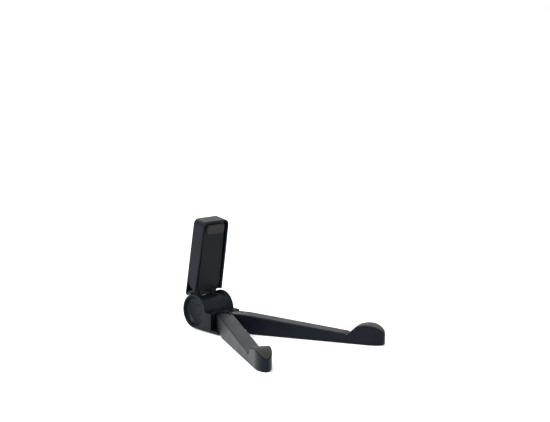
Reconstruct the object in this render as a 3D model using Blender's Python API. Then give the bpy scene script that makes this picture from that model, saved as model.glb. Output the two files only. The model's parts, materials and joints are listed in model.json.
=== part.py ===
"""A folding stand for tablets and phones, modelled piece by piece.

A housing with two round cheeks stands on the table. An arm with its own hinge barrel turns
between the cheeks, and two legs swing out from under the front of the housing. Each leg
ends in a hook that catches the lower edge of the tablet.

Sizes are in millimetres and MM turns them into metres. The origin is on the table, straight
below the arm's hinge axis: X runs to the right, Y to the back and Z up. The stand is modelled
open, with the arm up and the legs apart.
"""

from math import asin, cos, degrees, pi, radians, sin, sqrt

import bmesh
import bpy
from mathutils import Vector

MM = 0.001
GAP = 0.3  # air between two pieces that rest on each other
LONG = 60.0  # how far a through cut reaches past the piece

# Housing
STAND_WIDTH = 33.0  # over the two cheeks
CHEEK_RADIUS = 14.8  # round rear end of a cheek
CHEEK_LIFT = 1.5  # lowest point of the round end above the table
CHEEK_WALL = 1.8
CHEEK_FRONT = 22.4  # from the hinge axis to the front edge of a cheek
DECK_TOP = 17.4
DECK_THICKNESS = 1.5
BARREL_RADIUS = 12.3
WALL_FRONT = 15.3  # front face of the cross wall in front of the barrel
SCALLOP_CLEARANCE = 3.25  # between a leg's hub and the deck's hollow round it
CAP_RADIUS = 13.0  # the dished caps in the ends of the barrel
CAP_RIM = 0.6
CAP_LIP = 1.2  # where the back of a cap, and the pocket behind it, start to curve in
CAP_SET_BACK = 0.45
CAP_FLOOR_RADIUS = 6.5
DISH_DEPTH = 4.5
CAP_WALL = 1.2
COLLAR_WALL = 0.9  # round the pocket that a cap sits in
CAP_RING_RADIUS = 4.6
CAP_RING_HEIGHT = 0.35
BOSS_FLOOR = 1.8
KNUCKLE_WIDTH = 3.0
KNUCKLE_RELIEF = 0.6  # between a turning knuckle and the walls round it
PIN_RADIUS = 2.5
DETENT_RADIUS = 7.4  # from the hinge axis to the detent's own axis
DETENT_BALL_RADIUS = 1.4
DETENT_WIRE = 0.28
DETENT_TURNS = 5

# Base plate and the pad under it
BASE_BOTTOM = 0.9
BASE_THICKNESS = 2.4
BASE_FRONT = 33.8
BASE_REAR = 4.0  # behind the hinge axis
BASE_CORNER = 2.5
PAD_HEIGHT = 1.6
PAD_WIDTH = 20.0
PAD_FRONT = 9.0
PAD_REAR = 2.4

# Legs
LEG_LENGTH = 132.5  # from the pivot to the nose
LEG_WIDTH = 13.5
LEG_SPACING = 0.5  # between the folded legs
LEG_SPLAY = 26.5  # degrees from straight ahead
PIVOT_FORWARD = 29.5  # from the hinge axis to the legs' pivots
LEG_TOP = 17.0
LEG_EDGE = 0.7  # radius along the long edges
HUB_FLAT = 9.0  # how far the full height runs in front of the pivot
SEAT_AT = 98.0
SEAT_HEIGHT = 8.6
NOTCH_AT = 101.5
NOTCH_HEIGHT = 7.4
HOOK_START = 109.0
HOOK_START_HEIGHT = 15.2
CREST_AT = 118.5
CREST_HEIGHT = 17.2
NOSE_STRAIGHT = 119.5  # where the sides start to close
NOSE_HEIGHT = 11.6
STEP_AT = 11.6  # where the underside drops past the base plate
SOLE_THICKNESS = 0.8
SOLE_INSET = 0.7
HOOK_PAD_THICKNESS = 1.2
HOOK_PAD_INSET = 0.25
SHELF_RISE = 0.15  # run of the step behind the hook pad
TIP_FLAT = 0.15  # the nose ends in a narrow flat this far short of its full length

# Pivots and screws
POST_RADIUS = 3.0
POST_TOP = 14.4
COUNTERBORE_RADIUS = 5.2
WASHER_THICKNESS = 0.5
PIVOT_HEAD_RADIUS = 4.4
PIVOT_HEAD_HEIGHT = 1.5
PIVOT_SHANK_RADIUS = 1.4
PIVOT_SHANK_LENGTH = 8.0
SCREW_HEAD_RADIUS = 2.4
SCREW_HEAD_HEIGHT = 1.0
SCREW_SHANK_RADIUS = 1.1
SCREW_SHANK_LENGTH = 8.0
SCREW_SIDE = 11.2  # from the middle to the two front screws of the base plate
SCREW_FORWARD = 18.0
REAR_SCREW_FORWARD = 12.6

# Arm
ARM_LENGTH = 79.5  # from the hinge axis to the tip
ARM_LEAN = 9.0  # degrees forward from upright
ARM_FOOT_WIDTH = 31.4
ARM_TIP_WIDTH = 29.0
ARM_FOOT = 11.2  # where the back plate starts
ARM_BACK = 14.5  # outer face of the back plate, behind the hinge axis
ARM_FRONT = 1.4  # front edge of the side walls at the tip
ARM_FRONT_FOOT = 2.8  # and at the foot
ARM_WALL = 1.5
ARM_CORNER = 5.0
SHROUD_CLEARANCE = 1.2
SHROUD_THICKNESS = 1.9
SHROUD_SIDE_INSET = 0.15
NECK_SPAN = (36.0, 74.0)  # degrees round the hinge axis, from straight behind it
SHROUD_END = 20.0  # degrees from the arm's line to the shroud's front edge
WEB_SPAN = (38.0, 71.0)  # the closed part of the gap between the barrel and the shroud, in the same degrees
WEB_HALF_WIDTH = 11.2
APRON_OVERLAP = 4.0  # how far the wall that closes the arm's foot runs up behind the panel
APRON_THICKNESS = 1.2
WINDOW_RADIUS = 11.0
WINDOW_CENTRE = (2.4, 28.6)
WINDOW_FRONT = 77.0  # where the opening ends along the shroud, in degrees from straight behind the axis
PANEL_START = 20.0
PANEL_FRONT = 3.0
PANEL_THICKNESS = 1.6
PANEL_SIDE_GAP = 1.8
PANEL_TIP_GAP = 0.6
PANEL_SCREW_FROM_AXIS = 34.0
PANEL_SCREW_FROM_TIP = 17.5
PANEL_BOSS_RADIUS = 2.8
BACK_SCREW_LENGTH = 6.0
BACK_SCREW_CONE = 0.9  # depth of the countersunk head
BACK_SCREW_SUNK = 0.15  # below the back plate's face
TIP_PAD_WIDTH = 19.0
TIP_PAD_HEIGHT = 8.0
TIP_PAD_FROM_TIP = 3.6
TIP_PAD_PROUD = 0.5  # in front of the side walls

# Worked out
HALF_WIDTH = STAND_WIDTH / 2
AXIS_HEIGHT = CHEEK_LIFT + CHEEK_RADIUS
BASE_TOP = BASE_BOTTOM + BASE_THICKNESS
CAP_FLOOR_X = HALF_WIDTH - DISH_DEPTH
BOSS_OUTER_X = CAP_FLOOR_X - CAP_WALL - GAP
BOSS_INNER_X = BOSS_OUTER_X - BOSS_FLOOR
KNUCKLE_OUTER_X = BOSS_INNER_X - GAP
KNUCKLE_INNER_X = KNUCKLE_OUTER_X - KNUCKLE_WIDTH
DRUM_X = KNUCKLE_INNER_X - GAP
PIVOT_X = (LEG_WIDTH + LEG_SPACING) / 2
LEG_UNDERSIDE = SOLE_THICKNESS + GAP
HUB_UNDERSIDE = BASE_TOP + GAP
COUNTERBORE_FLOOR = POST_TOP
SHROUD_INNER = CHEEK_RADIUS + SHROUD_CLEARANCE
SHROUD_OUTER = SHROUD_INNER + SHROUD_THICKNESS


def clear_scene():
    for obj in list(bpy.data.objects):
        bpy.data.objects.remove(obj, do_unlink=True)


def material(name, colour, roughness, metallic=0.0):
    made = bpy.data.materials.new(name)
    made.use_nodes = True
    shader = made.node_tree.nodes["Principled BSDF"]
    shader.inputs["Base Color"].default_value = (*colour, 1)
    shader.inputs["Roughness"].default_value = roughness
    shader.inputs["Metallic"].default_value = metallic
    made.diffuse_color = (*colour, 1)
    return made


def arc(centre, radius, start, end, steps):
    """Points on a circle, with both ends, between two angles in degrees."""
    turns = [radians(start + (end - start) * i / steps) for i in range(steps + 1)]
    return [(centre[0] + radius * cos(t), centre[1] + radius * sin(t)) for t in turns]


def rounded_rectangle(low, high, radius, steps=5):
    (x0, y0), (x1, y1) = low, high
    points = arc((x1 - radius, y1 - radius), radius, 0, 90, steps)
    points += arc((x0 + radius, y1 - radius), radius, 90, 180, steps)
    points += arc((x0 + radius, y0 + radius), radius, 180, 270, steps)
    return points + arc((x1 - radius, y0 + radius), radius, 270, 360, steps)


def place(axis, along, a, b):
    """A point from its place along an axis and its two other coordinates, in order."""
    return {"X": (along, a, b), "Y": (a, along, b), "Z": (a, b, along)}[axis]


def finish_mesh(name, bm, surface, parent):
    bmesh.ops.scale(bm, vec=(MM, MM, MM), verts=bm.verts)
    bmesh.ops.recalc_face_normals(bm, faces=bm.faces)
    if bm.calc_volume(signed=True) < 0:
        bmesh.ops.reverse_faces(bm, faces=bm.faces)
    mesh = bpy.data.meshes.new(name)
    bm.to_mesh(mesh)
    bm.free()
    mesh.shade_smooth()
    mesh.set_sharp_from_angle(angle=radians(30))
    obj = bpy.data.objects.new(name, mesh)
    bpy.context.scene.collection.objects.link(obj)
    obj.parent = parent
    if surface:
        mesh.materials.append(surface)
    return obj


def loft(name, rings, surface=None, parent=None, closed=False):
    """A skin over rings of equal count; the end rings are capped unless the loft closes on itself."""
    bm = bmesh.new()
    rows = [[bm.verts.new(point) for point in ring] for ring in rings]
    count = len(rows[0])
    pairs = list(zip(rows, rows[1:]))
    if closed:
        pairs.append((rows[-1], rows[0]))
    for row, following in pairs:
        for i in range(count):
            j = (i + 1) % count
            bm.faces.new((row[i], row[j], following[j], following[i]))
    if not closed:
        bm.faces.new(rows[0])
        bm.faces.new(rows[-1])
    return finish_mesh(name, bm, surface, parent)


def prism(name, outline, axis, low, high, surface=None, parent=None, edge=0.0):
    """An outline pushed along an axis, with its sharp edges eased by edge."""
    rings = [[place(axis, along, a, b) for a, b in outline] for along in (low, high)]
    obj = loft(name, rings, surface, parent)
    if edge:
        ease = obj.modifiers.new("eased_edges", "BEVEL")
        ease.width = edge * MM
        ease.segments = 2
        ease.limit_method = "ANGLE"
        ease.angle_limit = radians(40)
    return obj


def turned(name, profile, axis, centre=(0, 0, 0), steps=48, surface=None, parent=None, ring=False):
    """A profile of (radius, along) points turned round an axis through centre, with flat ends."""
    rings = []
    step = 360 / steps
    for radius, along in profile:
        circle = arc((0, 0), radius, step / 2, 360 - step / 2, steps - 1)
        points = [Vector(place(axis, along, a, b)) + Vector(centre) for a, b in circle]
        rings.append(points)
    return loft(name, rings, surface, parent, closed=ring)


def rod(name, radius, axis, low, high, centre=(0, 0, 0), steps=48, surface=None, parent=None):
    profile = [(radius, low), (radius, high)]
    return turned(name, profile, axis, centre, steps, surface, parent)


def combine(obj, other, operation):
    """Joins, cuts or keeps what is common, with other left as a hidden helper."""
    boolean = obj.modifiers.new(f"{operation.lower()}_{other.name}", "BOOLEAN")
    boolean.operation = operation
    boolean.object = other
    boolean.solver = "EXACT"
    other.hide_render = True
    other.display_type = "WIRE"
    other.name = f"helper_{other.name}"


def join(obj, *others):
    for other in others:
        combine(obj, other, "UNION")


def cut(obj, *others):
    for other in others:
        combine(obj, other, "DIFFERENCE")


def joint_empty(name, place_mm, rotation):
    empty = bpy.data.objects.new(name, None)
    empty.location = Vector(place_mm) * MM
    empty.rotation_euler = rotation
    bpy.context.scene.collection.objects.link(empty)
    return empty


def box(name, low, high, parent=None):
    outline = [(low[0], low[1]), (high[0], low[1]), (high[0], high[1]), (low[0], high[1])]
    return prism(name, outline, "Z", low[2], high[2], parent=parent)


def screw(name, head_radius, head_height, shank_radius, shank_length, surface, place_mm, up, parent=None):
    """A pan-head screw with a cross slot: its head sits above place_mm, its shank goes the other way."""
    sign = 1 if up else -1
    crown = head_height * 0.35
    profile = [
        (shank_radius * 0.5, -sign * shank_length),
        (shank_radius, -sign * (shank_length - 1.0)),
        (shank_radius, 0),
        (head_radius, 0),
        (head_radius, sign * (head_height - crown)),
        (head_radius * 0.72, sign * head_height),
    ]
    made = turned(name, profile, "Z", place_mm, 20, surface, parent)
    slot_length, slot_width = head_radius * 0.62, head_radius * 0.13
    x, y, z = place_mm
    bottom, top = sorted((z + sign * head_height * 0.45, z + sign * (head_height + 1)))
    for turn, (dx, dy) in enumerate(((slot_length, slot_width), (slot_width, slot_length))):
        cut(made, box(f"{name}_slot_{turn}", (x - dx, y - dy, bottom), (x + dx, y + dy, top), parent))
    return made


def cheek_outline():
    """A cheek from the side, as (y, z): round behind, flat on top, open to the front."""
    lip = degrees(asin((DECK_TOP - AXIS_HEIGHT) / CHEEK_RADIUS))
    points = arc((0, AXIS_HEIGHT), CHEEK_RADIUS, 180 - lip, -92, 38)
    return points + [(-CHEEK_FRONT, BASE_BOTTOM), (-CHEEK_FRONT, DECK_TOP)]


def pivots():
    """Each side's name, its sign along X and its pivot's place."""
    for side, sign in (("left", -1), ("right", 1)):
        yield side, sign, (sign * PIVOT_X, -PIVOT_FORWARD, 0)


def base_screw_places():
    for sign in (-1, 1):
        yield sign * SCREW_SIDE, -SCREW_FORWARD
    yield 0, -REAR_SCREW_FORWARD


def bowl(sign, mouth, lip, depth):
    """A bowl in the barrel's end from its flat floor out to its mouth, as (radius, x) points."""
    points = []
    for step in range(6):
        turn = radians(90 - 18 * step)
        radius = CAP_FLOOR_RADIUS + (mouth - CAP_FLOOR_RADIUS) * cos(turn)
        points.append((radius, sign * (HALF_WIDTH - lip - (depth - lip) * sin(turn))))
    return points


def pocket_reach(radius):
    """How far out from the middle the pocket behind a cap stays narrower than this radius."""
    mouth, lip, depth = CAP_RADIUS + GAP, CAP_LIP, DISH_DEPTH + CAP_WALL + GAP
    part = min(max((radius - CAP_FLOOR_RADIUS) / (mouth - CAP_FLOOR_RADIUS), 0), 1)
    return HALF_WIDTH - lip - (depth - lip) * sqrt(1 - part * part)


def make_housing(plastic):
    cheeks = []
    for side, sign in (("left", -1), ("right", 1)):
        low, high = sorted((sign * HALF_WIDTH, sign * (HALF_WIDTH - CHEEK_WALL)))
        cheeks.append(prism(f"{side}_cheek", cheek_outline(), "X", low, high, plastic, edge=0.35))
    housing, other = cheeks
    housing.name = "housing_shell"
    inside = HALF_WIDTH - CHEEK_WALL / 2
    axis = (0, 0, AXIS_HEIGHT)
    collar = CAP_RADIUS + GAP + COLLAR_WALL
    neck_in, neck_out = min(CAP_FLOOR_X - GAP, pocket_reach(BARREL_RADIUS - COLLAR_WALL)), CAP_FLOOR_X + 1.9
    half_profile = [(BARREL_RADIUS, neck_in), (collar, neck_out), (collar, inside)]
    profile = [(radius, -x) for radius, x in reversed(half_profile)] + half_profile
    barrel = turned("barrel", profile, "X", axis, 48)
    block = box("cross_wall", (-inside, -WALL_FRONT, HUB_UNDERSIDE), (inside, -8, DECK_TOP - 0.2))
    deck_low = (-inside, -CHEEK_FRONT + 0.2, DECK_TOP - 0.2 - DECK_THICKNESS)
    deck = box("deck", deck_low, (inside, -WALL_FRONT + 1, DECK_TOP - 0.2))
    join(housing, other, barrel, block, deck)
    for x, y in base_screw_places():
        if x:
            post = rod(f"screw_post_{x:.0f}", 2.4, "Z", HUB_UNDERSIDE, DECK_TOP - 1, (x, y, 0), 24)
            join(housing, post)
    for side, sign, place_mm in pivots():
        radius = LEG_WIDTH / 2 + SCALLOP_CLEARANCE
        cut(housing, rod(f"scallop_{side}", radius, "Z", DECK_TOP - 5, DECK_TOP + 5, place_mm, 48))
        relief = BARREL_RADIUS + KNUCKLE_RELIEF
        low, high = sorted((sign * DRUM_X, sign * BOSS_INNER_X))
        cut(housing, rod(f"knuckle_slot_{side}", relief, "X", low, high, axis, 48))
        pocket = CAP_RADIUS + GAP
        profile = bowl(sign, pocket, CAP_LIP, DISH_DEPTH + CAP_WALL + GAP) + [(pocket, sign * LONG)]
        cut(housing, turned(f"dish_recess_{side}", profile, "X", axis, 48))
    cut(housing, rod("pin_bore", PIN_RADIUS + GAP, "X", -LONG, LONG, axis, 24))
    detent = (0, -DETENT_RADIUS, AXIS_HEIGHT)
    cut(housing, rod("detent_bore", DETENT_BALL_RADIUS + GAP, "X", -DRUM_X - 0.1, DRUM_X + 0.1, detent, 24))
    for x, y in base_screw_places():
        radius = SCREW_SHANK_RADIUS + GAP
        top = BASE_TOP + SCREW_SHANK_LENGTH
        cut(housing, rod(f"pilot_{x:.0f}", radius, "Z", 0, top, (x, y, 0), 20))
    return housing


def make_end_caps(plastic):
    for side, sign, _ in pivots():
        rise = CAP_FLOOR_X + CAP_RING_HEIGHT
        ring = [
            (CAP_RING_RADIUS + 0.5, sign * CAP_FLOOR_X),
            (CAP_RING_RADIUS + 0.1, sign * rise),
            (CAP_RING_RADIUS - 0.5, sign * rise),
            (CAP_RING_RADIUS - 0.9, sign * CAP_FLOOR_X),
        ]
        back = bowl(sign, CAP_RADIUS, CAP_LIP, DISH_DEPTH + CAP_WALL)
        front = bowl(sign, CAP_RADIUS - CAP_RIM, CAP_SET_BACK, DISH_DEPTH)
        rim = [(CAP_RADIUS, sign * (HALF_WIDTH - CAP_SET_BACK))]
        profile = back + rim + front[::-1] + ring
        turned(f"{side}_end_cap", profile, "X", (0, 0, AXIS_HEIGHT), 48, plastic)


def make_hinge_parts(steel):
    end = BOSS_OUTER_X - 0.1
    profile = [(PIN_RADIUS - 0.5, -end), (PIN_RADIUS, -end + 0.5), (PIN_RADIUS, end - 0.5)]
    profile.append((PIN_RADIUS - 0.5, end))
    turned("hinge_pin", profile, "X", (0, 0, AXIS_HEIGHT), 32, steel)
    ball_x = DRUM_X + 0.1 - DETENT_BALL_RADIUS
    for side, sign, _ in pivots():
        half = arc((0, 0), DETENT_BALL_RADIUS, 10, 170, 6)
        profile = [(b, sign * ball_x + a) for a, b in half]
        turned(f"{side}_detent_ball", profile, "X", (0, -DETENT_RADIUS, AXIS_HEIGHT), 14, steel)
    make_detent_spring(steel, 2 * (ball_x - DETENT_BALL_RADIUS - GAP))


def make_detent_spring(steel, length):
    """A compression spring along X between the two detent balls."""
    coil_radius = DETENT_BALL_RADIUS - DETENT_WIRE
    run = length - 2 * DETENT_WIRE
    count = DETENT_TURNS * 10
    curve = bpy.data.curves.new("detent_spring", "CURVE")
    curve.dimensions = "3D"
    curve.bevel_depth = DETENT_WIRE * MM
    curve.bevel_resolution = 1
    curve.use_fill_caps = True
    spline = curve.splines.new("POLY")
    spline.points.add(count)
    for i, point in enumerate(spline.points):
        turn = 2 * pi * DETENT_TURNS * i / count
        x = run * (i / count - 0.5)
        y, z = coil_radius * cos(turn) - DETENT_RADIUS, coil_radius * sin(turn) + AXIS_HEIGHT
        point.co = (x * MM, y * MM, z * MM, 1)
    curve.materials.append(steel)
    spring = bpy.data.objects.new("detent_spring", curve)
    bpy.context.scene.collection.objects.link(spring)


def make_base(plastic, rubber, steel):
    wide, middle, narrow = HALF_WIDTH, HALF_WIDTH - CHEEK_WALL - GAP, CAP_FLOOR_X
    shoulder, waist = -CHEEK_FRONT - GAP, -CHEEK_RADIUS - GAP
    outline = arc((wide - BASE_CORNER, -BASE_FRONT + BASE_CORNER), BASE_CORNER, -90, 0, 6)
    outline += [(wide, shoulder), (middle, shoulder), (middle, waist), (narrow, waist)]
    outline += arc((narrow - BASE_CORNER, BASE_REAR - BASE_CORNER), BASE_CORNER, 0, 90, 6)
    outline += [(-x, y) for x, y in reversed(outline)]
    base = prism("base_plate", outline, "Z", BASE_BOTTOM, BASE_TOP, plastic, edge=0.3)
    for side, sign, place_mm in pivots():
        join(base, rod(f"post_{side}", POST_RADIUS, "Z", BASE_TOP - 1, POST_TOP, place_mm, 36))
        low = BASE_TOP - 0.8
        cut(base, rod(f"post_bore_{side}", PIVOT_SHANK_RADIUS + GAP, "Z", low, LONG, place_mm, 24))
    head_depth = SCREW_HEAD_HEIGHT + 0.4
    for number, (x, y) in enumerate(base_screw_places(), 1):
        at = (x, y, 0)
        cut(base, rod(f"base_hole_{number}", SCREW_SHANK_RADIUS + GAP, "Z", -1, BASE_TOP + 1, at, 20))
        sink_top = BASE_BOTTOM + head_depth
        sink = rod(f"base_sink_{number}", SCREW_HEAD_RADIUS + GAP, "Z", -1, sink_top, at, 28)
        cut(base, sink)
        seat = (x, y, BASE_BOTTOM + head_depth - GAP)
        sizes = (SCREW_HEAD_RADIUS, SCREW_HEAD_HEIGHT, SCREW_SHANK_RADIUS, SCREW_SHANK_LENGTH)
        screw(f"base_screw_{number}", *sizes, steel, seat, up=False)
    corner = 3.0
    low, high = (-PAD_WIDTH / 2, -PAD_FRONT), (PAD_WIDTH / 2, PAD_REAR)
    seat_low, seat_high = (low[0] - GAP, low[1] - GAP), (high[0] + GAP, high[1] + GAP)
    pocket = rounded_rectangle(seat_low, seat_high, corner + GAP)
    cut(base, prism("pad_pocket", pocket, "Z", -1, PAD_HEIGHT + GAP))
    prism("rear_foot_pad", rounded_rectangle(low, high, corner), "Z", 0, PAD_HEIGHT, rubber, edge=0.25)


def leg_half_width(s):
    """Half the leg's width at s in front of its pivot: round hub, straight sides, closing nose."""
    half = LEG_WIDTH / 2
    if s < 0:
        return sqrt(max(half * half - s * s, 0))
    if s > NOSE_STRAIGHT:
        part = min((s - NOSE_STRAIGHT) / (LEG_LENGTH - NOSE_STRAIGHT), 1)
        return half * sqrt(1 - part * part)
    return half


def leg_top(s):
    """Height of the leg's upper side at s: hub, falling back, notch, hook and nose."""
    if s <= HUB_FLAT:
        return LEG_TOP
    if s <= SEAT_AT:
        return LEG_TOP + (SEAT_HEIGHT - LEG_TOP) * (s - HUB_FLAT) / (SEAT_AT - HUB_FLAT)
    if s <= NOTCH_AT:
        return SEAT_HEIGHT + (NOTCH_HEIGHT - SEAT_HEIGHT) * (s - SEAT_AT) / (NOTCH_AT - SEAT_AT)
    if s <= HOOK_START:
        part = (s - NOTCH_AT) / (HOOK_START - NOTCH_AT)
        return NOTCH_HEIGHT + (HOOK_START_HEIGHT - NOTCH_HEIGHT) * part**0.9
    if s <= CREST_AT:
        part = (s - HOOK_START) / (CREST_AT - HOOK_START)
        return HOOK_START_HEIGHT + (CREST_HEIGHT - HOOK_START_HEIGHT) * sin(part * pi / 2)
    part = min((s - CREST_AT) / (LEG_LENGTH - CREST_AT), 1)
    return NOSE_HEIGHT + (CREST_HEIGHT - NOSE_HEIGHT) * (1 - part**2.2)


def leg_ring(s, half, bottom, top, edge):
    """A cross-section of a leg with rounded corners, at s in front of the pivot."""
    edge = min(edge, half * 0.6, (top - bottom) * 0.4)
    corners = rounded_rectangle((-half, bottom), (half, top), edge, 2)
    return [(x, -s, z) for x, z in corners]


def spread(start, end, count):
    return [start + (end - start) * i / count for i in range(count)]


def nose_stations(count, end):
    """Places along the nose, closer together towards its tip."""
    reach = end - NOSE_STRAIGHT
    return [NOSE_STRAIGHT + reach * (1 - (1 - i / count) ** 2) for i in range(count + 1)]


def leg_stations():
    half = LEG_WIDTH / 2
    hub = [-half * cos(radians(t)) for t in range(8, 90, 9)]
    stations = hub + [0, HUB_FLAT, STEP_AT - 0.1, STEP_AT + 0.1, 40, 70, SEAT_AT]
    stations += [NOTCH_AT - 0.3, NOTCH_AT + 0.2, *spread(NOTCH_AT + 1.5, HOOK_START, 4)]
    return stations


def make_leg(side, sign, place_mm, plastic, rubber, steel):
    rotation = (0, 0, radians(sign * LEG_SPLAY))
    pivot = joint_empty(f"{side}_leg_pivot", place_mm, rotation)
    shelf = HOOK_PAD_THICKNESS + GAP
    tip = LEG_LENGTH - TIP_FLAT
    rings = []
    for s in leg_stations():
        bottom = HUB_UNDERSIDE if s < STEP_AT else LEG_UNDERSIDE
        rings.append(leg_ring(s, leg_half_width(s), bottom, leg_top(s), LEG_EDGE))
    shelf_start = HOOK_START + SHELF_RISE
    hook = [HOOK_START, shelf_start, *spread(HOOK_START + 2, NOSE_STRAIGHT, 5), *nose_stations(9, tip)]
    for number, s in enumerate(hook):
        top = leg_top(s) - (shelf if number else 0)
        edge = LEG_EDGE if number < 1 else 0.25
        rings.append(leg_ring(s, leg_half_width(s), LEG_UNDERSIDE, top, edge))
    leg = loft(f"{side}_leg", rings, plastic, pivot)
    cut(leg, rod(f"{side}_hub_bore", POST_RADIUS + GAP, "Z", -LONG, LONG, steps=24, parent=pivot))
    sink = rod(f"{side}_sink", COUNTERBORE_RADIUS, "Z", COUNTERBORE_FLOOR, LONG, steps=32, parent=pivot)
    cut(leg, sink)

    start = shelf_start + GAP
    rings = []
    for s in [start, *spread(start + 1.5, NOSE_STRAIGHT, 6), *nose_stations(9, tip - HOOK_PAD_INSET)]:
        half = leg_half_width(s + HOOK_PAD_INSET) - HOOK_PAD_INSET
        rings.append(leg_ring(s, half, leg_top(s) - HOOK_PAD_THICKNESS, leg_top(s), 0.45))
    loft(f"{side}_hook_pad", rings, rubber, pivot)

    rings = []
    first = STEP_AT + 2
    for s in [first, 60, *nose_stations(9, tip - SOLE_INSET)]:
        half = leg_half_width(s + SOLE_INSET) - SOLE_INSET
        rings.append(leg_ring(s, half, 0, SOLE_THICKNESS, 0.15))
    loft(f"{side}_sole_pad", rings, rubber, pivot)

    low = COUNTERBORE_FLOOR + GAP
    high = low + WASHER_THICKNESS
    inner, outer = PIVOT_SHANK_RADIUS + GAP, COUNTERBORE_RADIUS - GAP
    profile = [(inner, low), (outer, low), (outer, high), (inner, high)]
    turned(f"{side}_pivot_washer", profile, "Z", place_mm, 28, steel, ring=True)
    seat = (place_mm[0], place_mm[1], high + GAP)
    sizes = (PIVOT_HEAD_RADIUS, PIVOT_HEAD_HEIGHT, PIVOT_SHANK_RADIUS, PIVOT_SHANK_LENGTH)
    screw(f"{side}_pivot_screw", *sizes, steel, seat, up=True)


def arm_half_width(u):
    part = (u - ARM_FOOT) / (ARM_LENGTH - ARM_FOOT)
    return (ARM_FOOT_WIDTH + (ARM_TIP_WIDTH - ARM_FOOT_WIDTH) * part) / 2


def arm_outline(inset, bottom, top, corner):
    """The arm from the front, as (x, u): narrowing to a tip with round corners."""
    tip_half = arm_half_width(top) - inset
    right = [(arm_half_width(bottom) - inset, bottom)]
    right += arc((tip_half - corner, top - corner), corner, 0, 90, 6)
    return right + [(-x, u) for x, u in reversed(right)]


def make_arm(plastic, panel_plastic, rubber, steel):
    pivot = joint_empty("arm_pivot", (0, 0, AXIS_HEIGHT), (radians(ARM_LEAN), 0, 0))
    outline = arm_outline(0, ARM_FOOT, ARM_LENGTH, ARM_CORNER)
    arm = prism("arm_shell", outline, "Y", ARM_FRONT, ARM_BACK, plastic, pivot, edge=0.5)
    inner = arm_outline(ARM_WALL, ARM_FOOT - 8, ARM_LENGTH - ARM_WALL, ARM_CORNER - ARM_WALL)
    cut(arm, prism("channel", inner, "Y", -LONG, ARM_BACK - ARM_WALL, parent=pivot))
    back_start = 90 - degrees(asin((ARM_BACK - ARM_WALL / 2) / SHROUD_OUTER))
    shroud = arc((0, 0), SHROUD_OUTER, back_start, 90 - SHROUD_END, 12)
    shroud += arc((0, 0), SHROUD_INNER - 0.4, 90 - SHROUD_END, back_start, 12)
    half = arm_half_width(SHROUD_INNER) - SHROUD_SIDE_INSET
    join(arm, prism("shroud", shroud, "X", -half, half, parent=pivot))
    slope = [(ARM_FRONT_FOOT, ARM_FOOT), (ARM_FRONT, ARM_LENGTH + 0.1)]
    slope += [(-LONG, ARM_LENGTH + 0.1), (-LONG, ARM_FOOT)]
    cut(arm, prism("front_slope", slope, "X", -LONG, LONG, parent=pivot))
    cheek_swing = CHEEK_RADIUS + SHROUD_CLEARANCE
    cut(arm, rod("rim_sweep", cheek_swing, "X", -LONG, LONG, steps=64, parent=pivot))
    cut(arm, prism("window", window_outline(), "X", -LONG, LONG, parent=pivot))
    root, crown = BARREL_RADIUS - 1.3, (SHROUD_INNER + SHROUD_OUTER) / 2
    neck = arc((0, 0), root, *NECK_SPAN, 8) + arc((0, 0), crown, *NECK_SPAN[::-1], 8)
    for side, sign, _ in pivots():
        low, high = sorted((sign * KNUCKLE_INNER_X, sign * KNUCKLE_OUTER_X))
        knuckle = rod(f"{side}_knuckle", BARREL_RADIUS, "X", low, high, steps=32, parent=pivot)
        join(knuckle, prism(f"{side}_neck", neck, "X", low, high, parent=pivot))
        join(arm, knuckle)
    middle = (SHROUD_INNER + SHROUD_OUTER) / 2
    web = arc((0, 0), BARREL_RADIUS + KNUCKLE_RELIEF, *WEB_SPAN, 8)
    web += arc((0, 0), middle, *WEB_SPAN[::-1], 8)
    join(arm, prism("web", web, "X", -WEB_HALF_WIDTH, WEB_HALF_WIDTH, parent=pivot))
    apron_front = PANEL_FRONT + PANEL_THICKNESS + GAP
    apron_half = arm_half_width(PANEL_START) - ARM_WALL / 2
    apron_low = sqrt(middle**2 - apron_front**2)
    apron = [(-apron_half, apron_low), (apron_half, apron_low)]
    apron += [(apron_half, PANEL_START + APRON_OVERLAP), (-apron_half, PANEL_START + APRON_OVERLAP)]
    join(arm, prism("apron", apron, "Y", apron_front, apron_front + APRON_THICKNESS, parent=pivot))
    cut(arm, rod("arm_pin_bore", PIN_RADIUS + GAP, "X", -LONG, LONG, steps=24, parent=pivot))

    panel_outline = arm_outline(
        ARM_WALL + PANEL_SIDE_GAP, PANEL_START, ARM_LENGTH - ARM_WALL - PANEL_TIP_GAP, 3.0
    )
    panel_back = PANEL_FRONT + PANEL_THICKNESS
    panel = prism("arm_front_panel", panel_outline, "Y", PANEL_FRONT, panel_back, panel_plastic, pivot, 0.3)
    seat = ARM_BACK - ARM_WALL - GAP
    for number, u in enumerate((PANEL_SCREW_FROM_AXIS, ARM_LENGTH - PANEL_SCREW_FROM_TIP), 1):
        boss = (PANEL_BOSS_RADIUS, "Y", panel_back - 1, seat, (0, 0, u), 20)
        join(panel, rod(f"panel_boss_{number}", *boss, parent=pivot))
        radius = SCREW_SHANK_RADIUS + GAP
        cut(panel, rod(f"panel_pilot_{number}", radius, "Y", seat - 6, LONG, (0, 0, u), 20, parent=pivot))
        back_screw(f"arm_screw_{number}", u, steel, pivot, arm)

    top = ARM_LENGTH - TIP_PAD_FROM_TIP
    low, high = (-TIP_PAD_WIDTH / 2, top - TIP_PAD_HEIGHT), (TIP_PAD_WIDTH / 2, top)
    pad = rounded_rectangle(low, high, 2.5)
    front = ARM_FRONT - TIP_PAD_PROUD
    prism("arm_tip_pad", pad, "Y", front, PANEL_FRONT - GAP, rubber, pivot, 0.5)


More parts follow.
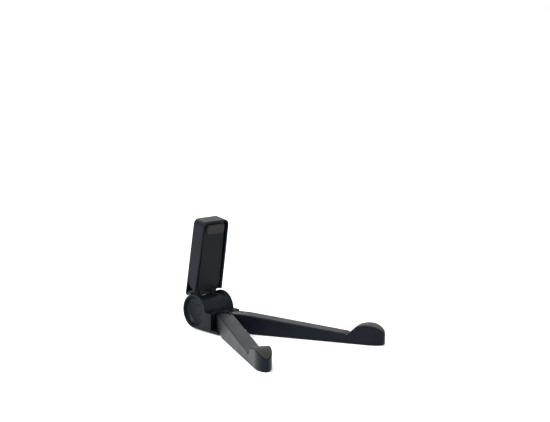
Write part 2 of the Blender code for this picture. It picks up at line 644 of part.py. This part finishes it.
def back_screw(name, u, steel, pivot, arm):
    """A flush countersunk screw through the arm's back plate at u."""
    outer, depth = ARM_BACK - BACK_SCREW_SUNK, BACK_SCREW_CONE
    shank = SCREW_SHANK_RADIUS
    profile = [(shank * 0.5, outer - BACK_SCREW_LENGTH), (shank, outer - BACK_SCREW_LENGTH + 0.6)]
    profile += [(shank, outer - depth), (SCREW_HEAD_RADIUS, outer)]
    made = turned(name, profile, "Y", (0, 0, u), 20, steel, pivot)
    slot = SCREW_HEAD_RADIUS * 0.55, SCREW_HEAD_RADIUS * 0.13
    for turn, (dx, du) in enumerate((slot, slot[::-1])):
        cut(made, box(f"{name}_slot_{turn}", (-dx, outer - 0.5, u - du), (dx, outer + 1, u + du), pivot))
    hole, mouth = SCREW_SHANK_RADIUS + GAP, SCREW_HEAD_RADIUS + GAP
    sink = [(hole, outer - 3), (hole, outer - depth - GAP), (mouth, outer), (mouth, outer + 2)]
    cut(arm, turned(f"{name}_sink", sink, "Y", (0, 0, u), 20, parent=pivot))


def window_outline():
    """The opening in a side wall between its rounded corner, the shroud and the back plate, as (n, u)."""
    inner_face = ARM_BACK - ARM_WALL
    round_corner = arc(WINDOW_CENTRE, WINDOW_RADIUS, -78, 0, 12)
    radius = SHROUD_OUTER + 0.1
    start = 90 - degrees(asin(inner_face / radius))
    shroud_side = arc((0, 0), radius, start, WINDOW_FRONT, 10)
    points = [(n, u) for n, u in round_corner if n < inner_face]
    return points + [(inner_face, WINDOW_CENTRE[1] - 1.5)] + shroud_side


def main():
    clear_scene()
    plastic = material("satin_black_plastic", (0.020, 0.022, 0.027), 0.42)
    panel_plastic = material("matte_black_plastic", (0.015, 0.017, 0.021), 0.55)
    rubber = material("dark_grey_rubber", (0.042, 0.040, 0.042), 0.75)
    steel = material("plated_steel", (0.50, 0.50, 0.52), 0.3, 1.0)
    make_housing(plastic)
    make_end_caps(plastic)
    make_hinge_parts(steel)
    make_base(plastic, rubber, steel)
    for side, sign, place_mm in pivots():
        make_leg(side, sign, place_mm, plastic, rubber, steel)
    make_arm(plastic, panel_plastic, rubber, steel)


main()
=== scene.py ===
"""Looks of the folding tablet stand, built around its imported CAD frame."""

import json
from math import cos, pi, radians, sin, sqrt

import bmesh
import bpy
from mathutils import Matrix, Vector


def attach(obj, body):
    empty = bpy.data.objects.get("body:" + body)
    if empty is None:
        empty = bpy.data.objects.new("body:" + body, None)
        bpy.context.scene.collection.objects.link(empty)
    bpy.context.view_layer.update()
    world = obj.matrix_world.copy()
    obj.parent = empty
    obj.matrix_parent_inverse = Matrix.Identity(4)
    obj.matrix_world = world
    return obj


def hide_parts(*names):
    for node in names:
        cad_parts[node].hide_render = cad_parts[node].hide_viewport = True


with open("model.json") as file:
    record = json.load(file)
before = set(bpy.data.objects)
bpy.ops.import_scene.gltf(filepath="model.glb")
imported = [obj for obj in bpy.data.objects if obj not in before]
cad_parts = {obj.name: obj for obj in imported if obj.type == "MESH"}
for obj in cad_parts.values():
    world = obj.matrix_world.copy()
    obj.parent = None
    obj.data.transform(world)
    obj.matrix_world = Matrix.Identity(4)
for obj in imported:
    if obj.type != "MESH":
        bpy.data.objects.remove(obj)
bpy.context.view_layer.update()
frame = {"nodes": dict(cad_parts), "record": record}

MM = 0.001

# Camera: place in metres, angles in degrees, lens and sensor in mm, near limit in metres.
CAMERA_AT = (-0.76514, -0.90948, 0.27629)
CAMERA_YAW, CAMERA_PITCH, CAMERA_ROLL = 42.848, 8.326, 0.336
CAMERA_LENS, CAMERA_SENSOR, CAMERA_NEAR = 91.05, 36.0, 0.01

# Studio: each light's place, width and height in metres, and its power in watts.
LIGHT_TARGET = (0, -0.05, 0.04)
LIGHTS = {
    "key": ((-1.0, 0.05, 0.75), (0.5, 0.9), 14.0),
    "fill": ((0.3, -1.0, 0.7), (1.0, 0.8), 2.0),
    "back": ((0.25, 1.0, 0.8), (1.0, 0.6), 6.0),
}
WORLD_STRENGTH = 1.0
WHITE = (1, 1, 1, 1)
FLOOR_REACH = 60.0  # metres
FLOOR_TONE = (0.92, 0.92, 0.93, 1)
FLOOR_GLOW = 0.22  # lifts the pale floor to a studio white, so that only soft shadows show on it

# Rounding, in mm, of the carried pieces whose edges show.
EDGE_ROUND = {
    "housing_shell": 0.35, "base_plate": 0.25, "arm_shell": 0.2, "arm_front_panel": 0.2,
    "arm_tip_pad": 0.25, "rear_foot_pad": 0.25, "left_sole_pad": 0.15, "right_sole_pad": 0.15,
}
EDGE_SEGMENTS = 3
WELD_REACH = 2e-6  # metres

# Angles between neighbouring faces, in degrees.
FLAT_WITHIN, SMOOTH_BELOW, SPLIT_ABOVE, PAD_SMOOTH_BELOW = 0.8, 32.0, 36.0, 50.0

# Paler edges, rubbed wear together with a painted highlight along them: the eased normal's reach in mm
# and its rays, its likeness to the surface's own normal where the paleness is full and where it ends, and
# how much every channel is lifted.
RUB_AND_HIGHLIGHT_REACH, RUB_AND_HIGHLIGHT_SAMPLES, RUB_AND_HIGHLIGHT_FULL, RUB_AND_HIGHLIGHT_END, RUB_AND_HIGHLIGHT_LIFT = 0.45, 8, 0.90, 0.995, 0.004

# End caps: a dish turned about the hinge axis, in mm.
AXIS_HEIGHT, HALF_WIDTH = 16.3, 16.5
CAP_RADIUS, CAP_RIM, CAP_SET_BACK, CAP_LIP = 13.0, 0.7, 0.45, 1.2
DISH_DEPTH, CAP_WALL, CAP_FLOOR_RADIUS, CAP_CENTRE = 4.5, 1.2, 6.5, 0.02
RING_RADIUS, RING_HEIGHT, RING_HALF = 4.6, 0.22, 0.45
CAP_STEPS, RIM_STEPS, RING_STEPS, DISH_STEPS, BACK_STEPS = 144, 8, 12, 26, 14

# Legs, in mm along each leg from its pivot.
LEG_LENGTH, LEG_WIDTH, LEG_SPLAY = 132.5, 13.5, 26.5
PIVOT_X, PIVOT_Y = 7.0, -29.5
HUB_START, HUB_END, HUB_HEIGHT = -7, 9, 17.0
SEAT_AT, SEAT_HEIGHT = 98, 8.6
NOTCH_AT, NOTCH_HEIGHT, NOTCH_CURVE = 101.5, 7.4, 0.9
HOOK_START, HOOK_START_HEIGHT = 109, 15.2
CREST_AT, CREST_HEIGHT = 118.5, 17.2
NOSE_STRAIGHT, NOSE_HEIGHT, NOSE_CURVE, NOSE_BLUNT, NOSE_RINGS = 119.5, 11.6, 2.2, 0.15, 26
HUB_UNDERSIDE, LEG_UNDERSIDE, HUB_STEP_AT, HUB_STEP_RUN = 3.6, 1.1, 11.6, 0.1
LEG_EDGE, SHELF_EDGE, SHELF_STEP_RUN = 0.8, 0.3, 0.15
MOST_EDGE_OF_HALF, MOST_EDGE_OF_HEIGHT = 0.6, 0.4
SINK_RADIUS, SINK_FLOOR, SINK_TOP, SINK_STEP = 5.2, 14.4, 30, 4
PAD_THICKNESS, PAD_GAP, PAD_INSET, PAD_EDGE, PAD_CHAMFER = 1.2, 0.3, 0.25, 0.5, 0.2
CORNER_BLEND, BLEND_SAMPLES = 0.5, 4

# Rings across the leg and the pad: the hub's angles, then how far apart they lie, in mm. Within
# CORNER_REACH of a corner in the profile they lie FINE_SPACING apart.
HUB_ANGLES = range(4, 90, 3)
HUB_SPACING, STEP_SPACING, BEAM_SPACING, HOOK_SPACING = 4, 1, 6, 0.5
SHELF_SPACING, PAD_SPACING, SHELF_LEAD = 0.7, 0.6, 0.5
CORNER_REACH, FINE_SPACING = 1, 0.25

LEG_HALF = LEG_WIDTH / 2
LEG_TIP = LEG_LENGTH - NOSE_BLUNT
LEG_PROFILE = ((HUB_START, HUB_HEIGHT), (HUB_END, HUB_HEIGHT), (SEAT_AT, SEAT_HEIGHT),
               (NOTCH_AT, NOTCH_HEIGHT), (HOOK_START, HOOK_START_HEIGHT))


# Material nodes

def node_tree(name):
    surface = bpy.data.materials.new(name)
    surface.use_nodes = True
    tree = surface.node_tree
    tree.nodes.clear()
    output = tree.nodes.new("ShaderNodeOutputMaterial")
    shader = tree.nodes.new("ShaderNodeBsdfPrincipled")
    tree.links.new(shader.outputs["BSDF"], output.inputs["Surface"])
    place = tree.nodes.new("ShaderNodeTexCoord")
    return surface, tree, shader, place.outputs["Object"]


def set_inputs(node, values):
    for name, value in values.items():
        node.inputs[name].default_value = value


def noise(tree, place, scale, detail, rough, stretch=None):
    """A noise pattern of so many grains per metre; stretch scales the place along X, Y and Z first."""
    if stretch:
        mapping = tree.nodes.new("ShaderNodeMapping")
        set_inputs(mapping, {"Scale": stretch})
        tree.links.new(place, mapping.inputs["Vector"])
        place = mapping.outputs["Vector"]
    pattern = tree.nodes.new("ShaderNodeTexNoise")
    set_inputs(pattern, {"Scale": scale, "Detail": detail, "Roughness": rough})
    tree.links.new(place, pattern.inputs["Vector"])
    return pattern.outputs["Fac"]


def ramp(tree, value, start, end):
    """Fades over a value from one (place, colour or grey) to another."""
    node = tree.nodes.new("ShaderNodeValToRGB")
    for stop, (place, colour) in zip(node.color_ramp.elements, (start, end)):
        stop.position = place
        stop.color = (*colour, 1.0) if isinstance(colour, tuple) else (colour, colour, colour, 1.0)
    tree.links.new(value, node.inputs["Fac"])
    return node.outputs["Color"]


def mix(tree, factor, first, second):
    """The first colour, given by a socket, turning into the second, a fixed one, as the factor rises."""
    node = tree.nodes.new("ShaderNodeMix")
    node.data_type = "RGBA"
    tree.links.new(factor, node.inputs["Factor"])
    below, above = (next(s for s in node.inputs if s.name == name and s.type == "RGBA") for name in "AB")
    tree.links.new(first, below)
    above.default_value = (*second, 1.0)
    return next(s for s in node.outputs if s.type == "RGBA")


def bump(tree, shader, layers):
    """Stacks bumps of (height, distance in mm, strength) on the shader's normal."""
    normal = None
    for height, distance, strength in layers:
        node = tree.nodes.new("ShaderNodeBump")
        set_inputs(node, {"Distance": distance * MM, "Strength": strength})
        tree.links.new(height, node.inputs["Height"])
        if normal:
            tree.links.new(normal, node.inputs["Normal"])
        normal = node.outputs["Normal"]
    tree.links.new(normal, shader.inputs["Normal"])


def rub_and_highlight_edges(tree, shader, body, light, gain):
    """Base colour: the body's, and a paler one where the eased normal leaves the surface's own, for
    rubbed wear and a painted highlight along the edges.
    """
    shape = tree.nodes.new("ShaderNodeNewGeometry")
    eased = tree.nodes.new("ShaderNodeBevel")
    eased.samples = RUB_AND_HIGHLIGHT_SAMPLES
    set_inputs(eased, {"Radius": RUB_AND_HIGHLIGHT_REACH * MM})
    likeness = tree.nodes.new("ShaderNodeVectorMath")
    likeness.operation = "DOT_PRODUCT"
    tree.links.new(shape.outputs["Normal"], likeness.inputs[0])
    tree.links.new(eased.outputs["Normal"], likeness.inputs[1])
    # Mask of the paler edges: rubbed wear together with a painted edge highlight.
    rub_and_highlight_mask = ramp(tree, likeness.outputs["Value"], (RUB_AND_HIGHLIGHT_FULL, 1.0), (RUB_AND_HIGHLIGHT_END, 0.0))
    rub_and_highlight_tone = tuple(c * gain + RUB_AND_HIGHLIGHT_LIFT for c in light)
    tree.links.new(mix(tree, rub_and_highlight_mask, body, rub_and_highlight_tone), shader.inputs["Base Color"])


# Materials

def moulded_plastic(name, dark, light, rough, grain):
    """Satin black moulded plastic: fine spark-eroded grain, cloudy gloss, paler edges of rubbed wear with
    a painted highlight.
    """
    surface, tree, shader, place = node_tree(name)
    clouds = noise(tree, place, scale=90, detail=4.0, rough=0.6)
    body = ramp(tree, clouds, (0.3, dark), (0.7, light))
    # Paler edges: rubbed wear together with a painted edge highlight.
    rub_and_highlight_edges(tree, shader, body, light, gain=1.8)
    handled = noise(tree, place, scale=45, detail=3.0, rough=0.55)
    gloss = ramp(tree, handled, (0.3, rough - 0.05), (0.72, rough + 0.07))
    tree.links.new(gloss, shader.inputs["Roughness"])
    set_inputs(shader, {"Specular IOR Level": 0.13, "Specular Tint": (0.80, 0.88, 1.0, 1.0)})
    fine = noise(tree, place, scale=grain, detail=1.0, rough=0.5)
    broad = noise(tree, place, scale=220, detail=1.0, rough=0.5)
    bump(tree, shader, ((fine, 0.06, 0.7), (broad, 0.03, 0.12)))
    return surface


def soft_rubber(name, dark, light):
    """Matte rubber: a pebbled skin with a slight sheen, and paler edges of rubbed wear with a painted
    highlight.
    """
    surface, tree, shader, place = node_tree(name)
    clouds = noise(tree, place, scale=140, detail=5.0, rough=0.65)
    body = ramp(tree, clouds, (0.32, dark), (0.68, light))
    # Paler edges: rubbed wear together with a painted edge highlight.
    rub_and_highlight_edges(tree, shader, body, light, gain=1.5)
    tree.links.new(ramp(tree, clouds, (0.3, 0.62), (0.7, 0.78)), shader.inputs["Roughness"])
    set_inputs(shader, {"Specular IOR Level": 0.15, "Sheen Weight": 0.08, "Sheen Roughness": 0.5})
    pebbles = noise(tree, place, scale=2600, detail=2.0, rough=0.6)
    bump(tree, shader, ((pebbles, 0.05, 0.4),))
    return surface


def turned_steel(name, tone, rough):
    """Machined steel: fine lines that vary its tone and its gloss, a fifth darker at the darkest."""
    surface, tree, shader, place = node_tree(name)
    lines = noise(tree, place, scale=400, detail=4.0, rough=0.6, stretch=(1.0, 1.0, 14.0))
    body = ramp(tree, lines, (0.3, tuple(c * 0.8 for c in tone)), (0.7, tone))
    tree.links.new(body, shader.inputs["Base Color"])
    tree.links.new(ramp(tree, lines, (0.3, rough), (0.7, rough + 0.12)), shader.inputs["Roughness"])
    set_inputs(shader, {"Metallic": 1.0})
    bump(tree, shader, ((lines, 0.02, 0.3),))
    return surface


PLASTIC = moulded_plastic("satin_black_plastic", dark=(0.0026, 0.0036, 0.0058),
                          light=(0.0042, 0.0054, 0.0082), rough=0.36, grain=2600)
PANEL = moulded_plastic("matte_panel_plastic", dark=(0.0026, 0.0033, 0.0048),
                        light=(0.0040, 0.0048, 0.0066), rough=0.5, grain=1800)
HOOK_RUBBER = soft_rubber("warm_grey_rubber", dark=(0.0150, 0.0142, 0.0140),
                          light=(0.0215, 0.0205, 0.0200))
SOLE_RUBBER = soft_rubber("black_rubber", dark=(0.003, 0.003, 0.0032), light=(0.005, 0.005, 0.0052))
STEEL = turned_steel("machined_steel", tone=(0.50, 0.50, 0.51), rough=0.28)
BLACK_STEEL = turned_steel("blackened_steel", tone=(0.075, 0.076, 0.080), rough=0.38)

SURFACES = {
    "plastic": PLASTIC, "panel_plastic": PANEL, "rubber": HOOK_RUBBER, "steel": STEEL,
}
SPECIAL = {
    "rear_foot_pad": SOLE_RUBBER, "left_sole_pad": SOLE_RUBBER, "right_sole_pad": SOLE_RUBBER,
    "arm_screw_1": BLACK_STEEL, "arm_screw_2": BLACK_STEEL,
    "left_pivot_screw": BLACK_STEEL, "right_pivot_screw": BLACK_STEEL,
}


# Pieces carried over from the CAD

def smooth_with(mesh, surface):
    mesh.materials.clear()
    mesh.materials.append(surface)
    mesh.polygons.foreach_set("use_smooth", [True] * len(mesh.polygons))


def even_shading(obj):
    obj.modifiers.new("even_shading", "WEIGHTED_NORMAL").keep_sharp = True


def finish_node(obj, surface, edge):
    """Gives a carried CAD piece its material, smooth curves and, with an edge in mm, rounded edges."""
    if "custom_normal" in obj.data.attributes:
        obj.data.attributes.remove(obj.data.attributes["custom_normal"])
    smooth_with(obj.data, surface)
    obj.modifiers.new("weld", "WELD").merge_threshold = WELD_REACH
    flats = obj.modifiers.new("merge_flats", "DECIMATE")
    flats.decimate_type = "DISSOLVE"
    flats.angle_limit = radians(FLAT_WITHIN)
    if edge:
        rounded = obj.modifiers.new("rounded_edges", "BEVEL")
        rounded.width = edge * MM
        rounded.segments = EDGE_SEGMENTS
        rounded.limit_method = "ANGLE"
        rounded.angle_limit = radians(SMOOTH_BELOW)
        rounded.use_clamp_overlap = True
    obj.modifiers.new("crisp_edges", "EDGE_SPLIT").split_angle = radians(SPLIT_ABOVE)
    even_shading(obj)


# Pieces made here

def rounded_rectangle(low, high, radius, steps=6):
    """Corner points of a rounded rectangle, anticlockwise from the lower right corner."""
    points = []
    corners = ((high[0], low[1]), (high[0], high[1]), (low[0], high[1]), (low[0], low[1]))
    for corner, (x, z) in enumerate(corners):
        centre_x = x - radius if corner < 2 else x + radius
        centre_z = z + radius if corner in (0, 3) else z - radius
        for step in range(steps + 1):
            turn = radians(90 * (corner - 1) + 90 * step / steps)
            points.append((centre_x + radius * cos(turn), centre_z + radius * sin(turn)))
    return points


def mesh_object(name, points, faces, turn=None):
    """An object of points in mm, turned into place, with its faces looking outwards."""
    mesh = bpy.data.meshes.new(name)
    mesh.from_pydata([Vector(p) * MM for p in points], [], faces)
    if turn:
        mesh.transform(turn)
    work = bmesh.new()
    work.from_mesh(mesh)
    bmesh.ops.recalc_face_normals(work, faces=work.faces)
    work.to_mesh(mesh)
    work.free()
    obj = bpy.data.objects.new(name, mesh)
    bpy.context.scene.collection.objects.link(obj)
    return obj


def loft(name, rings, turn):
    """A closed skin over rings of equally many points in mm, with flat ends."""
    count = len(rings[0])
    points = [p for ring in rings for p in ring]
    faces = [tuple(range(count))[::-1], tuple(len(points) - count + i for i in range(count))]
    for row in range(len(rings) - 1):
        for i in range(count):
            a, b = row * count + i, row * count + (i + 1) % count
            faces.append((a, b, b + count, a + count))
    return mesh_object(name, points, faces, turn)


def finish_made(obj, surface, slot, body, *nodes, sharp=SMOOTH_BELOW):
    """Smooth shading, material, body and the CAD nodes that a made piece stands for."""
    smooth_with(obj.data, surface)
    obj.data.set_sharp_from_angle(angle=radians(sharp))
    even_shading(obj)
    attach(obj, body)
    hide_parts(*nodes)


def dish_curve(mouth, lip, depth, steps):
    """From the mouth of the dish in to its flat floor, as (radius, depth from the stand's side)."""
    curve = []
    for step in range(steps + 1):
        turn = radians(90 * step / steps)
        radius = CAP_FLOOR_RADIUS + (mouth - CAP_FLOOR_RADIUS) * cos(turn)
        curve.append((radius, lip + (depth - lip) * sin(turn)))
    return curve


def cap_profile():
    """Once round the cap's wall, as (radius, depth): rim, dish, raised ring, centre and back."""
    rim_round = CAP_RIM / 2
    rim = []
    for step in range(RIM_STEPS + 1):
        turn = pi * step / RIM_STEPS
        rim.append((CAP_RADIUS - rim_round + rim_round * cos(turn),
                    CAP_SET_BACK + rim_round * (1 - sin(turn))))
    front = dish_curve(CAP_RADIUS - CAP_RIM, CAP_SET_BACK + rim_round, DISH_DEPTH, DISH_STEPS)[1:]
    ring = []
    for step in range(RING_STEPS + 1):
        part = step / RING_STEPS
        ring.append((RING_RADIUS + RING_HALF * (1 - 2 * part),
                     DISH_DEPTH - RING_HEIGHT * (1 - cos(2 * pi * part)) / 2))
    back = dish_curve(CAP_RADIUS, CAP_LIP, DISH_DEPTH + CAP_WALL, BACK_STEPS)[::-1]
    centre = [(CAP_CENTRE, DISH_DEPTH), (CAP_CENTRE, DISH_DEPTH + CAP_WALL)]
    return rim + front + ring + centre + back


def make_end_cap(side, sign):
    profile = cap_profile()
    count = len(profile)
    points, faces = [], []
    for row in range(CAP_STEPS):
        turn = 2 * pi * row / CAP_STEPS
        points += [(sign * (HALF_WIDTH - depth), radius * cos(turn), AXIS_HEIGHT + radius * sin(turn))
                   for radius, depth in profile]
        here, after = row * count, (row + 1) % CAP_STEPS * count
        for i in range(count):
            j = (i + 1) % count
            faces.append((here + i, here + j, after + j, after + i))
    cap = mesh_object(f"{side}_dished_cap", points, faces)
    finish_made(cap, PLASTIC, "plastic", "housing", f"{side}_end_cap")


def half_width(s):
    """Half the leg's width at s: a round hub, straight sides and an elliptical nose."""
    if s < 0:
        return sqrt(max(LEG_HALF * LEG_HALF - s * s, 0.0))
    if s > NOSE_STRAIGHT:
        part = min((s - NOSE_STRAIGHT) / (LEG_LENGTH - NOSE_STRAIGHT), 1)
        return LEG_HALF * sqrt(max(1 - part * part, 0.0))
    return LEG_HALF


def sharp_top(s):
    """The height of the leg's top at s, with its corners sharp."""
    for (start, low), (end, high) in zip(LEG_PROFILE, LEG_PROFILE[1:]):
        if s <= end:
            part = max((s - start) / (end - start), 0)
            return low + (high - low) * (part**NOTCH_CURVE if start == NOTCH_AT else part)
    if s <= CREST_AT:
        part = (s - HOOK_START) / (CREST_AT - HOOK_START)
        return HOOK_START_HEIGHT + (CREST_HEIGHT - HOOK_START_HEIGHT) * sin(part * pi / 2)
    part = min((s - CREST_AT) / (LEG_LENGTH - CREST_AT), 1)
    return NOSE_HEIGHT + (CREST_HEIGHT - NOSE_HEIGHT) * (1 - part**NOSE_CURVE)


def leg_top(s):
    """The leg's top, its corners eased over a short reach."""
    shifts = range(-BLEND_SAMPLES, BLEND_SAMPLES + 1)
    return sum(sharp_top(s + CORNER_BLEND * i / BLEND_SAMPLES) for i in shifts) / len(shifts)


def section(s, half, bottom, top, edge):
    """A ring across the leg at s, its corners rounded as far as its size allows."""
    edge = min(edge, half * MOST_EDGE_OF_HALF, (top - bottom) * MOST_EDGE_OF_HEIGHT)
    return [(x, -s, z) for x, z in rounded_rectangle((-half, bottom), (half, top), edge)]


def evenly(start, end, step):
    """Places from start up to, but not with, end."""
    count = max(int(round((end - start) / step)), 1)
    return [start + (end - start) * i / count for i in range(count)]


def nose(end):
    """Places along the nose, closer together towards its end."""
    reach = end - NOSE_STRAIGHT
    return [NOSE_STRAIGHT + reach * (1 - (1 - i / NOSE_RINGS) ** 2) for i in range(NOSE_RINGS + 1)]


def leg_rings():
    """The leg's rings from the hub to the nose, with a shelf for the hook pad."""
    hub = [-LEG_HALF * cos(radians(angle)) for angle in HUB_ANGLES]
    before = (hub + evenly(0, HUB_END - CORNER_REACH, HUB_SPACING)
              + evenly(HUB_END - CORNER_REACH, HUB_END + CORNER_REACH, FINE_SPACING)
              + evenly(HUB_END + CORNER_REACH, HUB_STEP_AT - HUB_STEP_RUN, STEP_SPACING))
    after = (evenly(HUB_STEP_AT + HUB_STEP_RUN, SEAT_AT - CORNER_REACH, BEAM_SPACING)
             + evenly(SEAT_AT - CORNER_REACH, NOTCH_AT + CORNER_REACH, FINE_SPACING)
             + evenly(NOTCH_AT + CORNER_REACH, HOOK_START, HOOK_SPACING))
    shelf = ([HOOK_START + SHELF_STEP_RUN]
             + evenly(HOOK_START + SHELF_LEAD, NOSE_STRAIGHT, SHELF_SPACING) + nose(LEG_TIP))
    rings = [section(s, half_width(s), HUB_UNDERSIDE, leg_top(s), LEG_EDGE) for s in before]
    rings.append(section(HUB_STEP_AT - HUB_STEP_RUN, LEG_HALF, HUB_UNDERSIDE,
                         leg_top(HUB_STEP_AT), LEG_EDGE))
    rings += [section(s, half_width(s), LEG_UNDERSIDE, leg_top(s), LEG_EDGE) for s in after]
    rings.append(section(HOOK_START, LEG_HALF, LEG_UNDERSIDE, leg_top(HOOK_START), LEG_EDGE))
    rings += [section(s, half_width(s), LEG_UNDERSIDE, leg_top(s) - (PAD_THICKNESS + PAD_GAP), SHELF_EDGE)
              for s in shelf]
    return rings


def cut_sink(leg, turn):
    """Cuts the round recess for the pivot screw's head."""
    angles = [radians(angle) for angle in range(0, 360, SINK_STEP)]
    sink = loft("sink", [[(SINK_RADIUS * cos(a), SINK_RADIUS * sin(a), z) for a in angles]
                         for z in (SINK_FLOOR, SINK_TOP)], turn)
    hollow = leg.modifiers.new("sink", "BOOLEAN")
    hollow.operation, hollow.object, hollow.solver = "DIFFERENCE", sink, "EXACT"
    depsgraph = bpy.context.evaluated_depsgraph_get()
    leg.data = bpy.data.meshes.new_from_object(leg.evaluated_get(depsgraph))
    leg.modifiers.clear()
    bpy.data.objects.remove(sink)


def make_leg(side, turn):
    leg = loft(f"{side}_swing_leg", leg_rings(), turn)
    cut_sink(leg, turn)
    finish_made(leg, PLASTIC, "plastic", f"{side}_leg", f"{side}_leg")


def make_hook_pad(side, turn):
    start = HOOK_START + SHELF_STEP_RUN + PAD_GAP
    rings = []
    for s in ([start, start + PAD_CHAMFER] + evenly(start + SHELF_LEAD, NOSE_STRAIGHT, PAD_SPACING)
              + nose(LEG_TIP - PAD_INSET)):
        pull = PAD_CHAMFER if s == start else 0.0
        half = half_width(s + PAD_INSET) - PAD_INSET - pull
        rings.append(section(s, half, leg_top(s) - PAD_THICKNESS, leg_top(s) - pull, PAD_EDGE))
    pad = loft(f"{side}_soft_hook_pad", rings, turn)
    finish_made(pad, HOOK_RUBBER, "rubber", f"{side}_leg", f"{side}_hook_pad", sharp=PAD_SMOOTH_BELOW)


# Studio

def make_floor():
    near, far = -FLOOR_REACH, FLOOR_REACH
    mesh = bpy.data.meshes.new("floor")
    mesh.from_pydata([(near, near, 0), (far, near, 0), (far, far, 0), (near, far, 0)], [], [(0, 1, 2, 3)])
    floor = bpy.data.objects.new("floor", mesh)
    bpy.context.scene.collection.objects.link(floor)
    surface, _, shader, _ = node_tree("pale_floor")
    set_inputs(shader, {"Base Color": FLOOR_TONE, "Roughness": 0.9, "Specular IOR Level": 0.1,
                        "Emission Color": WHITE, "Emission Strength": FLOOR_GLOW})
    mesh.materials.append(surface)


def make_light(name, place, size, power):
    light = bpy.data.lights.new(name, "AREA")
    light.shape, light.energy = "RECTANGLE", power
    light.size, light.size_y = size
    obj = bpy.data.objects.new(name, light)
    bpy.context.scene.collection.objects.link(obj)
    obj.location = place
    obj.rotation_euler = (Vector(LIGHT_TARGET) - Vector(place)).to_track_quat("-Z", "Y").to_euler()


def make_world():
    world = bpy.data.worlds.new("studio")
    world.use_nodes = True
    set_inputs(world.node_tree.nodes["Background"], {"Color": WHITE, "Strength": WORLD_STRENGTH})
    bpy.context.scene.world = world


def make_camera():
    yaw, pitch = radians(CAMERA_YAW), radians(CAMERA_PITCH)
    forward = Vector((sin(yaw) * cos(pitch), cos(yaw) * cos(pitch), -sin(pitch)))
    turn = forward.to_track_quat("-Z", "Y").to_matrix() @ Matrix.Rotation(radians(CAMERA_ROLL), 3, "Z")
    camera = bpy.data.cameras.new("camera")
    camera.lens, camera.sensor_width, camera.clip_start = CAMERA_LENS, CAMERA_SENSOR, CAMERA_NEAR
    obj = bpy.data.objects.new("camera", camera)
    obj.matrix_world = Matrix.Translation(CAMERA_AT) @ turn.to_4x4()
    bpy.context.scene.collection.objects.link(obj)
    bpy.context.scene.camera = obj


for side, sign in (("left", -1), ("right", 1)):
    make_end_cap(side, sign)
    leg_place = (Matrix.Translation((sign * PIVOT_X * MM, PIVOT_Y * MM, 0))
                 @ Matrix.Rotation(radians(sign * LEG_SPLAY), 4, "Z"))
    make_leg(side, leg_place)
    make_hook_pad(side, leg_place)

for entry in frame["record"]["subparts"]:
    name = entry["node"]
    finish_node(frame["nodes"][name], SPECIAL.get(name, SURFACES[entry["material_slot"]]),
                EDGE_ROUND.get(name))

make_floor()
make_world()
for name, (place, size, power) in LIGHTS.items():
    make_light(name, place, size, power)
make_camera()
bpy.context.scene.view_settings.view_transform = "Standard"
